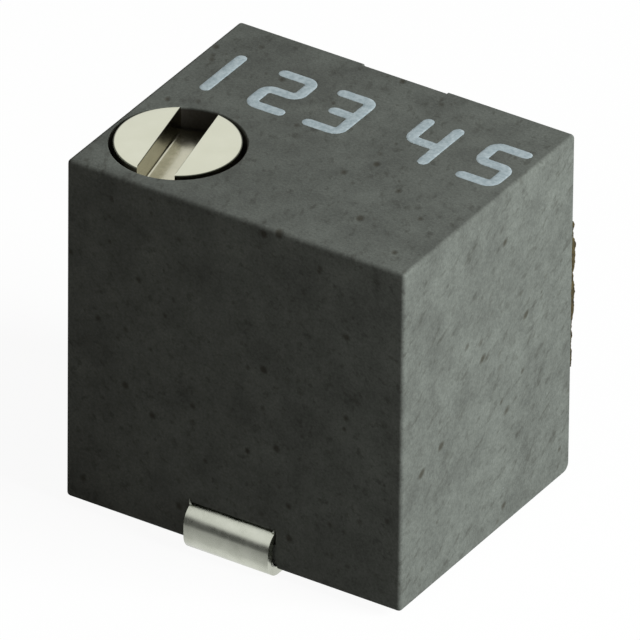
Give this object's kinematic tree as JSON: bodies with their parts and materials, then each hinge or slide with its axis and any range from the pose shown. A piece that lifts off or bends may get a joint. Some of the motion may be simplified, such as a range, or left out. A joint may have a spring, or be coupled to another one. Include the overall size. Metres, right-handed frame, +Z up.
{
  "type": "trimmer potentiometer",
  "caption": "Square sealed surface-mount trimmer potentiometer with a slotted top screw, a worm drive and J-bent terminals.",
  "frame": {"origin": "middle of the part's plan, in the plane of the solder feet", "axes": "+Z up out of the board, -Y towards the side with the single terminal, +X along the housing's width"},
  "size_m": [0.0064, 0.0056, 0.0065],
  "materials": {
    "moulded_case": "matte moulded",
    "plated_brass": "bright nickel plate",
    "seal_rubber": "smooth",
    "spring_strip": "rolled",
    "rotor_plastic": "moulded",
    "contact_spring": "rolled",
    "alumina": "matte",
    "cermet": "fired",
    "silver_print": "fired",
    "tinned_terminal": "matte tin plate",
    "solder": "satin",
    "epoxy": "cured resin"
  },
  "bodies": {
    "case": {"housing": "moulded_case", "screw_clip": "spring_strip", "substrate": "alumina", "resistive_track": "cermet", "collector_print": "silver_print", "end_pad_1": "silver_print", "end_pad_3": "silver_print", "terminal_1": "tinned_terminal", "terminal_2": "tinned_terminal", "terminal_3": "tinned_terminal", "solder_1": "solder", "solder_2": "solder", "solder_3": "solder", "epoxy_seal": "epoxy"},
    "screw": {"adjustment_screw": "plated_brass", "o_ring": "seal_rubber"},
    "rotor": {"worm_gear": "rotor_plastic", "wiper": "contact_spring"}
  },
  "joints": [
    {"name": "screw_turn", "type": "hinge", "parent": "case", "child": "screw", "pos_m": [-0.00198, -0.00115, 0.0033], "axis": [0, 0, 1], "range_deg": [-2160, 2160]},
    {"name": "rotor_turn", "type": "hinge", "parent": "case", "child": "rotor", "pos_m": [0.0002, -0.00115, 0.0033], "axis": [0, 1, 0], "range_deg": [-135, 135]}
  ],
  "couplings": [
    {"joint": "rotor_turn", "follows": "screw_turn", "ratio": -0.0625}
  ]
}
